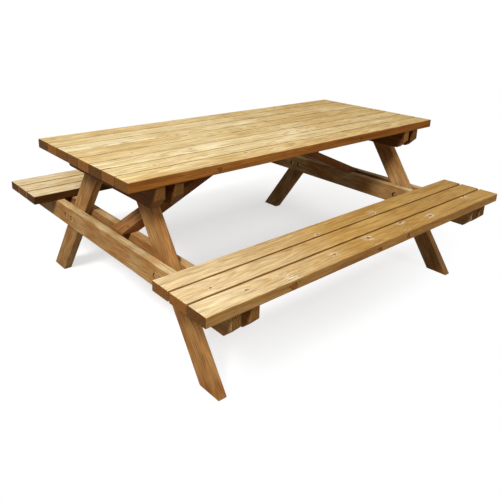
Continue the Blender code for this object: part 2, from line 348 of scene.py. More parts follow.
def with_knots(tree, wood, field, painted_lit_face, looks):
    """A knot is a small brown plug with a dark rim. The grain swells round it and takes up little of the
    treatment, so it is left nearly white."""
    if looks["knots"]:
        distance = chosen_knots(tree, looks["knots"])
    else:
        distance = scattered_knots(tree, field["log"])
    reach = add_node(tree, MATH, {0: distance, 1: KNOT_REACH}, operation="DIVIDE")

    # The ramp multiplies the wood's own colour. Its light grey is one over the gain, so it is no change.
    plug = add_node(tree, "ShaderNodeValToRGB", {0: reach},
                    stops=((0.0, looks["knot_heart"]), (0.06, looks["knot_heart"]),
                           (0.10, looks["knot_rim"]), (0.15, "#D8D8D8")))
    gain = add_node(tree, VECTOR_MATH, {0: plug, "Scale": KNOT_GAIN}, operation="SCALE")
    plugged = add_node(tree, MIX, {FACTOR: looks["knot_strength"], COLOUR_A: wood, COLOUR_B: gain},
                       **STAIN)

    ring = add_node(tree, "ShaderNodeValToRGB", {0: reach},
                    stops=((0.0, "#000000"), (0.11, "#000000"), (0.16, "#FFFFFF"), (0.23, "#D0D0D0"),
                           (0.34, "#000000")))
    broken = add_node(tree, MAP_RANGE, {"Value": field["fibres"], "From Min": 0.35, "From Max": 0.60,
                                        "To Max": looks["halo"]})
    halo = add_node(tree, MATH, {0: ring, 1: broken}, operation="MULTIPLY")
    halo = add_node(tree, MATH, {0: halo, 1: painted_lit_face}, operation="MULTIPLY")
    return add_node(tree, MIX, {FACTOR: halo, COLOUR_A: plugged, COLOUR_B: looks["knot_halo"]},
                    **LAY_OVER)


def treated_pine(name, looks):
    """Planed, pressure-treated pine. Its upper faces are painted pale straw and its sides a darker amber,
    as painted light and shade, both with honey-coloured arches of late wood, and its sawn ends soak up the
    most and go brown. It is dry and open-grained, so it has almost no sheen."""
    material, tree = new_material(name)
    field = grain_field(tree, looks)
    here = add_node(tree, "ShaderNodeTexCoord").outputs["Object"]
    normal = add_node(tree, "ShaderNodeTexCoord").outputs["Normal"]
    late = add_node(tree, MAP_RANGE, {"Value": field["streaks"], "From Min": 0.34, "From Max": 0.68})
    figure = add_node(tree, MIX, {FACTOR: looks["ring_share"], NUMBER_A: late, NUMBER_B: field["rings"]},
                      data_type="FLOAT")
    # Painted light: faces that point up take the pale face colours, and sides the darker side colours.
    up = add_node(tree, SPLIT, {0: normal}).outputs["Z"]
    painted_lit_face = add_node(tree, MAP_RANGE, {"Value": up, "From Min": looks["arris_tone"], "From Max": 0.98},
                      interpolation_type="SMOOTHSTEP")

    wood = planed_wood(tree, figure, painted_lit_face, in_gap(tree, here, normal, looks), looks)
    wood = varied_wood(tree, wood, field, here, painted_lit_face, looks)
    wood = with_sawn_ends(tree, wood, field, looks)
    wood = with_fibres(tree, wood, field, looks)
    wood = with_knots(tree, wood, field, painted_lit_face, looks)

    # Grain height for the bump: late wood stands about 0.1 mm proud of early wood.
    height = add_node(tree, MATH, {0: field["rings"], 1: field["fibres"]}, operation="ADD")
    bump = add_node(tree, "ShaderNodeBump", {"Height": height, "Strength": 0.35, "Distance": 0.0002})
    rough = add_node(tree, MAP_RANGE, {"Value": figure, "To Min": looks["roughness"],
                                       "To Max": looks["roughness"] - 0.10})
    shader = add_node(tree, "ShaderNodeBsdfPrincipled",
                      {"Base Color": wood, "Roughness": rough, "Specular IOR Level": 0.05, "IOR": 1.5,
                       "Normal": bump})
    add_node(tree, "ShaderNodeOutputMaterial", {"Surface": shader})
    return material


def zinc_plate(name, pale, dull, roughness, metal):
    """Yellow-passivated zinc on cold-formed steel: a dull brassy grey, softly mottled."""
    material, tree = new_material(name)
    here = add_node(tree, "ShaderNodeTexCoord").outputs["Object"]
    mottle = add_node(tree, NOISE, {"Vector": here, "Scale": 420.0, "Detail": 3.0})
    colour = add_node(tree, MIX, {FACTOR: mottle, COLOUR_A: pale, COLOUR_B: dull}, **LAY_OVER)
    rough = add_node(tree, MAP_RANGE, {"Value": mottle, "To Min": roughness - 0.08,
                                       "To Max": roughness + 0.10})
    shader = add_node(tree, "ShaderNodeBsdfPrincipled",
                      {"Base Color": colour, "Metallic": metal, "Roughness": rough})
    add_node(tree, "ShaderNodeOutputMaterial", {"Surface": shader})
    return material


# Looks of the timbers ---------------------------------------------------------------------------
# How far a knot runs on along x, y and z: through the top of a board, or out through its edge.
UP = (1.5, 1.0, 3.0)
OUT = (1.3, 1.6, 1.0)


def knots_up(height, spots):
    """Knots in upper faces at one height, from each one's x, y and radius."""
    return [(x, y, height, radius, UP) for x, y, radius in spots]


def knots_out(edge, spots):
    """Knots in the edge at one y, from each one's x, z and radius."""
    return [(x, edge, z, radius, OUT) for x, z, radius in spots]


TOP_KNOTS = [
    *knots_up(0.724, ((-0.72, -0.24, 0.009), (-0.48, -0.13, 0.010), (-0.70, -0.05, 0.009),
                      (-0.17, 0.21, 0.009), (0.22, -0.23, 0.009), (0.46, 0.06, 0.009),
                      (-0.34, -0.30, 0.011), (0.66, -0.13, 0.009))),
    *knots_out(-0.363, ((-0.52, 0.705, 0.016), (0.31, 0.703, 0.014))),
]
SEAT_KNOTS = [
    *knots_up(0.43, ((-0.275, -0.721, 0.010), (-0.055, -0.707, 0.013), (0.18, -0.695, 0.012),
                     (0.355, -0.726, 0.014), (0.71, -0.686, 0.013), (-0.695, -0.72, 0.008),
                     (-0.19, -0.565, 0.009), (0.18, -0.556, 0.012), (-0.775, -0.64, 0.008))),
    *knots_out(-0.768, ((-0.53, 0.408, 0.026), (-0.06, 0.405, 0.018), (0.13, 0.410, 0.018))),
    *knots_up(0.43, ((-0.60, 0.63, 0.010), (-0.15, 0.71, 0.012), (0.35, 0.54, 0.012),
                     (0.62, 0.72, 0.010))),
]

# Ring width and places are in metres, and streak and cloud scales are in turns to the metre. The rack is
# the row of boards, whose gaps lie within rack_reach of rack_middle on each side of the table. The other
# numbers are shares from 0 to 1: of the rings in the figure, of the tint in each stain, of the dark in
# checks and knots and of the white round a knot.
# The face colours are painted light on upper faces, and the side colours painted shade on the sides.
TOP_LOOKS = {
    "ring_width": 0.0052, "ring_share": 0.38, "streak": (2.2, 62.0, 62.0), "fleck": 0.72,
    "face_pale": "#F6E8C0", "face_deep": "#C6A86E", "side_pale": "#BC8346", "side_deep": "#7E5022",
    "end_pale": "#A06A34", "end_deep": "#46280E", "arris_tone": 0.45, "roughness": 0.66,
    "gap": "#573A1A", "rack_middle": 0.0, "rack_reach": 0.357,
    "tint": "#DEC68A", "tone_range": 0.40, "cloud": 0.46, "cloud_scale": 5.0,
    "falloff_shade": 0.50, "falloff_shade_side": 0.75, "falloff_shade_from": -0.10, "falloff_shade_to": 0.85,
    "checks": 0.85, "check_tone": "#80592E",
    "knots": TOP_KNOTS, "knot_heart": "#B4A088", "knot_rim": "#866C52", "knot_strength": 0.8,
    "knot_halo": "#F3E8D0", "halo": 0.45,
}
SEAT_LOOKS = {
    **TOP_LOOKS,
    "face_pale": "#FAEAC4", "face_deep": "#D6B884", "side_pale": "#D8AC70", "side_deep": "#A87C44",
    "arris_tone": 0.30, "gap": "#B48A52", "rack_middle": 0.6275, "rack_reach": 0.134,
    "tint": "#D0B47A", "tone_range": 0.24, "cloud": 0.28,
    "falloff_shade": 0.92, "falloff_shade_side": 0.55, "falloff_shade_from": -0.75, "falloff_shade_to": -0.15, "checks": 0.6,
    "knots": SEAT_KNOTS, "knot_rim": "#7A6046", "knot_strength": 0.95,
    "knot_halo": "#F7EEDA", "halo": 0.7,
}
# Painted shade: the back seat's sides and ends are a darker copy of the front seat's, for its inner edge
# in the shade of the table top.
SHADED_BACK_SEAT_LOOKS = {
    **SEAT_LOOKS,
    "side_pale": "#5E3C1C", "side_deep": "#40260E", "end_pale": "#8A5C30", "end_deep": "#40240C",
}
FRAME_LOOKS = {
    "ring_width": 0.0060, "ring_share": 0.30, "streak": (6.5, 48.0, 48.0), "fleck": 0.70,
    "face_pale": "#F4E2B6", "face_deep": "#C8AA74", "side_pale": "#D0A870", "side_deep": "#A2784A",
    "end_pale": "#A4743E", "end_deep": "#563413", "arris_tone": 0.90, "roughness": 0.70,
    "gap": "#5E4322", "rack_middle": 0.0, "rack_reach": -1.0,
    "tint": "#D8AE74", "tone_range": 0.42, "cloud": 0.62, "cloud_scale": 9.0,
    "falloff_shade": 0.0, "falloff_shade_side": 0.0, "falloff_shade_from": -0.75, "falloff_shade_to": -0.10,
    "checks": 0.5, "check_tone": "#5E3A18",
    "knots": [], "knot_heart": "#84735E", "knot_rim": "#5A4634", "knot_strength": 0.9,
    "knot_halo": "#E0CBA0", "halo": 0.2,
}
BRACE_LOOKS = {
    **FRAME_LOOKS,
    "face_pale": "#D4AC7C", "face_deep": "#A0764A", "side_pale": "#9A6A3C", "side_deep": "#664224",
    "arris_tone": 0.70,
}
# Painted shade: the top bearers' sides are a darker copy of the frame's, for the shade under the table
# top.
SHADED_UNDER_TOP_LOOKS = {**FRAME_LOOKS, "side_pale": "#8E6034", "side_deep": "#5E3C1E"}


# Mesh helpers -----------------------------------------------------------------------------------
END_GRAIN_FROM = 0.45
END_GRAIN_REACH = 0.25


def new_object(name, mesh):
    made = bpy.data.objects.new(name, mesh)
    bpy.context.scene.collection.objects.link(made)
    return made


def plain_mesh(name, item):
    """The evaluated object as a plain mesh with no modifiers."""
    graph = bpy.context.evaluated_depsgraph_get()
    mesh = bpy.data.meshes.new_from_object(item.evaluated_get(graph), depsgraph=graph)
    mesh.name = name
    return mesh


def prism_mesh(name, outline, depth, turn):
    """A closed prism: outline is counter-clockwise in its own XY, depth is along its Z, then turned."""
    count = len(outline)
    points = [(a, b, -depth / 2) for a, b in outline] + [(a, b, depth / 2) for a, b in outline]
    faces = [list(range(count))[::-1], list(range(count, 2 * count))]
    faces += [[i, (i + 1) % count, (i + 1) % count + count, i + count] for i in range(count)]
    mesh = bpy.data.meshes.new(name)
    mesh.from_pydata(points, [], faces)
    mesh.transform(turn)
    return mesh


def closed_faces(rings, sides):
    """Faces of a closed solid whose points are rings of equal count, from the lower end up."""
    faces = [list(range(sides))[::-1]]
    for ring in range(rings - 1):
        start = ring * sides
        for i in range(sides):
            after = (i + 1) % sides
            faces.append([start + i, start + after, start + sides + after, start + sides + i])
    faces.append(list(range((rings - 1) * sides, rings * sides)))
    return faces


def turned_parts(profile, sides, place, aim):
    """Points and faces of a closed solid of revolution. Profile lists (height, radius) from the lower
    end up; the solid stands at place and its height runs towards aim."""
    turn = Vector((0, 0, 1)).rotation_difference(Vector(aim)).to_matrix()
    points = []
    for height, radius in profile:
        for i in range(sides):
            angle = 2 * math.pi * (i + 0.5) / sides
            local = Vector((radius * math.cos(angle), radius * math.sin(angle), height))
            points.append(Vector(place) + turn @ local)
    return points, closed_faces(len(profile), sides)


def joined_mesh(name, parts):
    points, faces = [], []
    for part_points, part_faces in parts:
        shift = len(points)
        points += part_points
        faces += [[i + shift for i in face] for face in part_faces]
    mesh = bpy.data.meshes.new(name)
    mesh.from_pydata(points, [], faces)
    return mesh


def round_arrises(item, radius):
    bevel = item.modifiers.new("planed_arrises", "BEVEL")
    bevel.width = radius
    bevel.segments = ARRIS_SEGMENTS
    bevel.limit_method = "ANGLE"
    bevel.angle_limit = math.radians(BEVEL_ABOVE)


def even_shading(item):
    """Smooth shading that keeps large flat faces flat, made part of the mesh."""
    item.data.shade_smooth()
    item.data.set_sharp_from_angle(angle=math.radians(TIMBER_SHARP))
    weighted = item.modifiers.new("flat_faces_stay_flat", "WEIGHTED_NORMAL")
    weighted.keep_sharp = True
    item.data = plain_mesh(item.name, item)
    item.modifiers.clear()


def mark_grain(mesh, centre, along, across):
    """Stores where each point lies in the timber, and which faces are sawn ends. A slanted cut counts
    in part, by how far it faces along the grain."""
    through = along.cross(across)
    grain = mesh.attributes.new("grain", "FLOAT_VECTOR", "POINT")
    for vertex, value in zip(mesh.vertices, grain.data):
        offset = vertex.co - centre
        value.vector = (offset.dot(along), offset.dot(across), offset.dot(through))
    end = mesh.attributes.new("end_grain", "FLOAT", "FACE")
    for polygon, value in zip(mesh.polygons, end.data):
        facing = abs(polygon.normal.dot(along))
        value.value = min(1.0, max(0.0, (facing - END_GRAIN_FROM) / END_GRAIN_REACH))


def mark_log(mesh, rng, chosen_tone):
    """Gives the whole timber its own place in a log, and its own tone, by chance where none is chosen."""
    place = mesh.attributes.new("log_place", "FLOAT_VECTOR", "POINT")
    spot = [rng.uniform(*span) for span in TIMBER_LOG]
    for value in place.data:
        value.vector = spot
    tone = mesh.attributes.new("tone", "FLOAT", "POINT")
    shade = rng.random()
    if chosen_tone is not None:
        shade = chosen_tone
    for value in tone.data:
        value.value = shade


def finish_piece(item, material, nodes):
    item.data.materials.clear()
    item.data.materials.append(material)
    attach(item, "root")
    if nodes:
        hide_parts(*nodes)


# Geometry Nodes ---------------------------------------------------------------------------------
def new_tree(name, sockets):
    tree = bpy.data.node_groups.new(name, "GeometryNodeTree")
    tree.interface.new_socket("Geometry", in_out="INPUT", socket_type="NodeSocketGeometry")
    for label, kind in sockets:
        tree.interface.new_socket(label, in_out="INPUT", socket_type="NodeSocket" + kind)
    tree.interface.new_socket("Geometry", in_out="OUTPUT", socket_type="NodeSocketGeometry")
    return tree


def ended_tree(tree, instances, material):
    real = add_node(tree, "GeometryNodeRealizeInstances", {"Geometry": instances})
    done = add_node(tree, "GeometryNodeSetMaterial", {"Geometry": real, "Material": material})
    add_node(tree, "NodeGroupOutput", {"Geometry": done})
    return tree


def board_rack_tree():
    """Lays boards side by side, each cut a little short and from its own log."""
    tree = new_tree("board_rack", (("Board", "Object"), ("Count", "Int"), ("Pitch", "Float"),
                                   ("Middle", "Vector"), ("Shortfall", "Float"), ("Seed", "Int"),
                                   ("Tone Seed", "Int"), ("Material", "Material")))
    given = add_node(tree, "NodeGroupInput").outputs
    board = add_node(tree, "GeometryNodeObjectInfo", {"Object": given["Board"], "As Instance": True})
    gaps = add_node(tree, MATH, {0: given["Count"], 1: 1.0}, operation="SUBTRACT")
    width = add_node(tree, MATH, {0: gaps, 1: given["Pitch"]}, operation="MULTIPLY")
    back = add_node(tree, MATH, {0: width, 1: -0.5}, operation="MULTIPLY")
    first = add_node(tree, JOIN, {"Y": back})
    start = add_node(tree, VECTOR_MATH, {0: first, 1: given["Middle"]}, operation="ADD")
    step = add_node(tree, JOIN, {"Y": given["Pitch"]})
    line = add_node(tree, "GeometryNodeMeshLine", {"Count": given["Count"], "Offset": step,
                                                   "Start Location": start})
    shortest = add_node(tree, MATH, {0: 1.0, 1: given["Shortfall"]}, operation="SUBTRACT")
    cut = add_node(tree, CHANCE, {2: shortest, 3: 1.0, "Seed": given["Seed"]}, data_type="FLOAT")
    scale = add_node(tree, JOIN, {"X": cut, "Y": 1.0, "Z": 1.0})
    laid = add_node(tree, "GeometryNodeInstanceOnPoints",
                    {"Points": line, "Instance": board.outputs["Geometry"],
                     "Scale": scale})
    next_seed = add_node(tree, MATH, {0: given["Seed"], 1: 1.0}, operation="ADD")
    spot = add_node(tree, CHANCE, {0: [low for low, _ in BOARD_LOG], 1: [high for _, high in BOARD_LOG],
                                   "Seed": next_seed}, data_type="FLOAT_VECTOR")
    placed = add_node(tree, "GeometryNodeStoreNamedAttribute",
                      {"Geometry": laid, "Name": "log_place", "Value": spot},
                      data_type="FLOAT_VECTOR", domain="INSTANCE")
    shade = add_node(tree, CHANCE, {2: 0.0, 3: 1.0, "Seed": given["Tone Seed"]}, data_type="FLOAT")
    toned = add_node(tree, "GeometryNodeStoreNamedAttribute",
                     {"Geometry": placed, "Name": "tone", "Value": shade},
                     data_type="FLOAT", domain="INSTANCE")
    return ended_tree(tree, toned, given["Material"])


def hardware_tree():
    """Sets one fastener on each point, aimed along the point's aim and turned by chance."""
    tree = new_tree("fasteners_on_points", (("Fastener", "Object"), ("Seed", "Int"),
                                            ("Material", "Material")))
    given = add_node(tree, "NodeGroupInput").outputs
    fastener = add_node(tree, "GeometryNodeObjectInfo", {"Object": given["Fastener"], "As Instance": True})
    aim = add_node(tree, "GeometryNodeInputNamedAttribute", {"Name": "aim"}, data_type="FLOAT_VECTOR")
    facing = add_node(tree, "FunctionNodeAlignRotationToVector", {"Vector": aim}, axis="Z")
    turn = add_node(tree, CHANCE, {2: 0.0, 3: math.pi, "Seed": given["Seed"]}, data_type="FLOAT")
    roll = add_node(tree, JOIN, {"Z": turn})
    spun = add_node(tree, "FunctionNodeEulerToRotation", {0: roll})
    turned = add_node(tree, "FunctionNodeRotateRotation", {0: facing, 1: spun}, rotation_space="LOCAL")
    laid = add_node(tree, "GeometryNodeInstanceOnPoints",
                    {"Points": given["Geometry"], "Instance": fastener.outputs["Geometry"],
                     "Rotation": turned})
    return ended_tree(tree, laid, given["Material"])


def run_tree(name, mesh, tree, values):
    """Runs the tree on the mesh with its inputs set by identifier, and returns a plain object."""
    source = new_object(name + "_source", mesh)
    modifier = source.modifiers.new(tree.name, "NODES")
    modifier.node_group = tree
    for item in tree.interface.items_tree:
        if item.in_out == "INPUT" and item.name in values:
            modifier[item.identifier] = values[item.name]
    made = new_object(name, plain_mesh(name, source))
    bpy.data.objects.remove(source, do_unlink=True)
    return made


# Boards -----------------------------------------------------------------------------------------
def loose_board(name, size):
    """One planed board at the origin, with rounded arrises and its grain marked."""
    length, width, thick = size
    outline = [(-length / 2, -width / 2), (length / 2, -width / 2),
               (length / 2, width / 2), (-length / 2, width / 2)]
    board = new_object(name, prism_mesh(name, outline, thick, Matrix()))
    round_arrises(board, ARRIS_RADIUS)
    board.data = plain_mesh(name, board)
    board.modifiers.clear()
    mark_grain(board.data, Vector((0, 0, 0)), Vector((1, 0, 0)), Vector((0, 1, 0)))
    return board


def rack_of_boards(name, nodes, tree, seed, tone_seed, material):
    """Replaces a row of CAD boards, laid from the lowest y to the highest."""
    boxes = sorted((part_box(node) for node in nodes), key=lambda pair: pair[0].y)
    low, high = boxes[0]
    size = high - low
    middle = (boxes[0][0] + boxes[-1][1]) / 2
    pitch = boxes[1][0].y - low.y
    board = loose_board(name + "_blank", size)
    made = run_tree(name, bpy.data.meshes.new(name), tree,
                    {"Board": board, "Count": len(nodes), "Pitch": pitch, "Middle": middle,
                     "Shortfall": END_SHORTFALL, "Seed": seed, "Tone Seed": tone_seed,
                     "Material": material})
    bpy.data.objects.remove(board, do_unlink=True)
    even_shading(made)
    finish_piece(made, material, nodes)


# Frame timbers ----------------------------------------------------------------------------------
def bolt_cutter(place, aim, stack):
    """Hole and recesses for one bolt. Its height runs from the inner face to the outer one."""
    hole = BOLT_HOLE / 2
    recess = RECESS / 2
    profile = ((-CUT_PAST, recess), (NUT_RECESS, recess), (NUT_RECESS, hole), (stack - HEAD_RECESS, hole),
               (stack - HEAD_RECESS, recess), (stack + CUT_PAST, recess))
    return turned_parts(profile, ROUND_SIDES, place, aim)


def bolt_keys():
    """Each bolt's level, end and number in its frame."""
    return itertools.product(("seat", "top"), ("front", "back"), (1, 2))


def bolt_places(side_name, side):
    """Where each bolt enters the inner face of its frame, and the thickness that it passes."""
    outer_low, outer_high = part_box(f"top_bearer_{side_name}_outer")
    inner_low, inner_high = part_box(f"top_bearer_{side_name}_inner")
    outer = outer_low.x if side < 0 else outer_high.x
    inner = inner_high.x if side < 0 else inner_low.x
    places = []
    for level, end_name, number in bolt_keys():
        low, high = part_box(f"bolt_{level}_{side_name}_{end_name}_{number}")
        middle = (low + high) / 2
        places.append((level, end_name, Vector((inner, middle.y, middle.z))))
    return places, abs(outer - inner)


def timber(name, outline, depth, turn, radius, cuts):
    """A prism with rounded arrises, then its holes."""
    name = "pine_" + name
    item = new_object(name, prism_mesh(name, outline, depth, turn))
    round_arrises(item, radius)
    cutter = None
    if cuts:
        cutter = new_object(name + "_holes", joined_mesh(name + "_holes", cuts))
        drill = item.modifiers.new("holes", "BOOLEAN")
        drill.operation = "DIFFERENCE"
        drill.solver = "EXACT"
        drill.object = cutter
    item.data = plain_mesh(name, item)
    item.modifiers.clear()
    if cutter:
        bpy.data.objects.remove(cutter, do_unlink=True)
    return item


def finish_timber(item, node, along, across, rng, material):
    low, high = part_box(node)
    mark_grain(item.data, (low + high) / 2, along, across)
    mark_log(item.data, rng, TIMBER_TONES.get(node))
    even_shading(item)
    finish_piece(item, material, [node])


# Maps an outline's (a, b, depth) to (Y, Z, X) or to (X, Z, -Y), both without a mirror.
OUTLINE_IN_YZ = Matrix(((0, 0, 1, 0), (1, 0, 0, 0), (0, 1, 0, 0), (0, 0, 0, 1)))
OUTLINE_IN_XZ = Matrix(((1, 0, 0, 0), (0, 0, -1, 0), (0, 1, 0, 0), (0, 0, 0, 1)))
LEAN_GUESS = 0.5               # a leg's run over its rise, to start from
LEAN_STEPS = 30                # far more than it takes to settle


def cross_timber(name, outline, cuts):
    """A timber whose outline stands across the table."""
    low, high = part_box(name)
    turn = Matrix.Translation(((low.x + high.x) / 2, 0, 0)) @ OUTLINE_IN_YZ
    return timber(name, outline, high.x - low.x, turn, ARRIS_RADIUS, cuts)


def make_leg(name, side, cuts, rng, material):
    """A leaning timber, cut level at its foot and head. Its lean and the width of its level cuts follow
    from its box, and each gives the other, so they are settled in turn."""
    low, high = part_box(name)
    height = high.z - low.z
    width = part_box("top_board_1")[1].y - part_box("top_board_1")[0].y
    slope = LEAN_GUESS
    for _ in range(LEAN_STEPS):
        cut = width * math.hypot(1, slope)
        slope = (high.y - low.y - cut) / height
    outline = [(low.y, low.z), (low.y + cut, low.z), (high.y, high.z), (high.y - cut, high.z)]
    if side > 0:
        outline = [(high.y - cut, low.z), (high.y, low.z), (low.y + cut, high.z), (low.y, high.z)]
    item = cross_timber(name, outline, cuts)
    along = Vector((0, -side * slope, 1)).normalized()
    finish_timber(item, name, along, along.cross(Vector((1, 0, 0))), rng, material)


def make_bearer(name, cuts, rng, material):
    """A rail across the table with its two lower corners cut off."""
    low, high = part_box(name)
    cut = BEARER_CHAMFER
    outline = [(low.y + cut, low.z), (high.y - cut, low.z), (high.y, low.z + cut),
               (high.y, high.z), (low.y, high.z), (low.y, low.z + cut)]
    item = cross_timber(name, outline, cuts)
    finish_timber(item, name, Vector((0, 1, 0)), Vector((0, 0, 1)), rng, material)


def brace_lines(side_name, side):
    """The brace's box, how far from the middle its foot and its nose stand, its slope, and its height
    measured upright through the timber."""
    low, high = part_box("brace_" + side_name)
    bearer_low, bearer_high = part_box(f"seat_bearer_{side_name}_inner")
    reach = abs(bearer_high.x) if side < 0 else bearer_low.x
    timber_thick = bearer_high.x - bearer_low.x
    nose = min(abs(low.x), abs(high.x))
    slope = (high.z - low.z) / reach
    rise = timber_thick * math.hypot(1, slope)
    return low, high, reach, nose, slope, rise


def make_brace(name, side_name, side, cuts, rng, material):
    """A flat-laid timber from the top of the inner seat bearer up to the middle of the top."""
    low, high, reach, nose, slope, rise = brace_lines(side_name, side)
    end = max(abs(low.x), abs(high.x))
    outline = [(nose, high.z - slope * nose), (reach, low.z), (end, low.z),
               (end, low.z + rise - slope * (end - reach)), (rise / slope, high.z), (nose, high.z)]
    if side < 0:
        outline = [(-x, z) for x, z in reversed(outline)]
    item = timber(name, outline, high.y - low.y, OUTLINE_IN_XZ, BRACE_ARRIS_RADIUS, cuts)
    along = Vector((-side, 0, slope)).normalized()
    finish_timber(item, name, along, Vector((0, 1, 0)), rng, material)


def brace_screws(side_name, side):
    """Two screws down into the seat bearer, and two up into the boards, as (place, aim) pairs."""
    low, _, reach, _, slope, rise = brace_lines(side_name, side)
    upward = Vector((side * slope, 0, 1)).normalized()
    foot_z = low.z + rise - slope * (BRACE_SCREW_X - reach)
    head_z = low.z + slope * (reach - BRACE_HEAD_SCREW_X)
    places = []
    for y in (-BRACE_SCREW_Y, BRACE_SCREW_Y):
        places.append((Vector((side * BRACE_SCREW_X, y, foot_z)), upward))
        places.append((Vector((side * BRACE_HEAD_SCREW_X, y, head_z)), -upward))
    return places


def bearer_screws(name, boards):
    """One screw up through the bearer into each board that it carries."""
    low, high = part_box(name)
    flat_low = low.y + BEARER_CHAMFER + COUNTERBORE
    flat_high = high.y - BEARER_CHAMFER - COUNTERBORE
    places = []
    for board in boards:
        board_low, board_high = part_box(board)
        y = min(max((board_low.y + board_high.y) / 2, flat_low), flat_high)
        places.append((Vector(((low.x + high.x) / 2, y, low.z)), Vector((0, 0, -1))))
    return places


def counterbore(place, aim, depth, radius):
    return turned_parts(((-depth, radius), (CUT_PAST, radius)), SCREW_SIDES, place, aim)


def countersink(place, aim):
    """A conical seat for a screw head just under the face."""
    head = SCREW_HEAD / 2 + HEAD_CLEARANCE
    shank = SCREW_SHANK / 2 + SCREW_CLEARANCE
    profile = ((-0.006, shank), (-0.0046, shank), (-SCREW_SINK, head), (0.001, head + 0.0006))
    return turned_parts(profile, SCREW_SIDES, place, aim)


# Fasteners --------------------------------------------------------------------------------------
def bolt_mesh(length):
    """A dome-headed coach bolt: its tip at 0, a few turns of thread at the tip, its crown at the top."""
    shank = BOLT_SHANK / 2
    head = BOLT_HEAD / 2
    profile = [(0.0, shank * 0.72), (0.0008, shank * 0.84)]
    for turn in range(THREAD_TURNS):
        start = THREAD_START + turn * THREAD_PITCH
        profile += [(start, shank * THREAD_ROOT), (start + THREAD_PITCH / 2, shank)]
    under = length - BOLT_HEAD_HEIGHT
    rim = under + EDGE_BREAK
    profile += [(THREAD_END, shank), (under, shank), (under, head * 0.985), (rim, head)]
    for step in range(1, CROWN_STEPS):
        angle = step / CROWN_STEPS * math.pi / 2
        profile.append((rim + (BOLT_HEAD_HEIGHT - EDGE_BREAK) * math.sin(angle), head * math.cos(angle)))
    profile.append((length, head * 0.04))
    return joined_mesh("coach_bolt", [turned_parts(profile, ROUND_SIDES, (0, 0, 0), (0, 0, 1))])


def nut_mesh(height):
    """A flanged hexagon nut with chamfered corners, its flange at 0."""
    bore = NUT_BORE / 2
    corner = NUT_FLATS / math.sqrt(3)
    flat = NUT_FLATS / 2
    flange = NUT_FLANGE / 2
    step = NUT_FLANGE_THICK
    rings = [(0.0, bore + EDGE_BREAK, False), (0.0, flange - 0.0004, False), (EDGE_BREAK, flange, False),
             (step * 0.7, flange, False), (step * 1.25, flange * 0.90, False),
             (step * 1.35, corner, True), (height - NUT_CHAMFER, corner, True),
             (height, flat * 0.98, False), (height, bore + EDGE_BREAK, False),
             (height - EDGE_BREAK, bore, False), (EDGE_BREAK, bore, False)]
    points = []
    for level, radius, hexagon in rings:
        for i in range(NUT_SIDES):
            angle = 2 * math.pi * i / NUT_SIDES
            reach = radius
            if hexagon:
                within = (angle + math.pi / 6) % (math.pi / 3) - math.pi / 6
                reach = min(flat / math.cos(within), radius)
            points.append((reach * math.cos(angle), reach * math.sin(angle), level))
    faces = []
    for ring in range(len(rings)):
        start = ring * NUT_SIDES
        above = (ring + 1) % len(rings) * NUT_SIDES
        for i in range(NUT_SIDES):
            after = (i + 1) % NUT_SIDES
            faces.append([start + i, start + after, above + after, above + i])
    mesh = bpy.data.meshes.new("flanged_nut")
    mesh.from_pydata(points, [], faces)
    return mesh


def screw_mesh():
    """A countersunk timber screw with a six-lobed socket, its head's face at 0 and its tip below."""
    head = SCREW_HEAD / 2
    shank = SCREW_SHANK / 2
    rings = [(-0.0100, shank * 0.9, 0.0), (-0.0042, shank, 0.0), (-0.0006, head, 0.0),
             (0.0, head * 0.96, 0.0), (0.0, head * 0.50, SOCKET_LOBE),
             (-0.0016, head * 0.46, SOCKET_LOBE), (-0.0019, head * 0.20, 0.0)]
    points = []
    for level, radius, lobe in rings:
        for i in range(SCREW_SIDES):
            angle = 2 * math.pi * i / SCREW_SIDES
            reach = radius * (1 + lobe * math.cos(6 * angle))
            points.append((reach * math.cos(angle), reach * math.sin(angle), level))
    mesh = bpy.data.meshes.new("timber_screw")
    mesh.from_pydata(points, [], closed_faces(len(rings), SCREW_SIDES))
    return mesh


def set_fasteners(name, mesh, places, tree, seed, material, nodes):
    points = bpy.data.meshes.new(name + "_points")
    points.from_pydata([place for place, _ in places], [], [])
    aims = points.attributes.new("aim", "FLOAT_VECTOR", "POINT")
    for value, (_, aim) in zip(aims.data, places):
        value.vector = aim
    fastener = new_object(mesh.name, mesh)
    made = run_tree(name, points, tree, {"Fastener": fastener, "Seed": seed, "Material": material})
    bpy.data.objects.remove(fastener, do_unlink=True)
    made.data.shade_smooth()
    made.data.set_sharp_from_angle(angle=math.radians(FASTENER_SHARP))
    finish_piece(made, material, nodes)


# The table --------------------------------------------------------------------------------------
def build_boards(tree, top_wood, seat_woods):
    rack_of_boards("pine_top_boards", TOP_NAMES, tree, TOP_SEED, TOP_TONE_SEED, top_wood)
    for (end_name, _), names, seed, seat_wood in zip(ENDS, SEAT_NAMES, SEAT_SEEDS, seat_woods):
        rack_of_boards(f"pine_{end_name}_seat_boards", names, tree, seed, seed + 2, seat_wood)


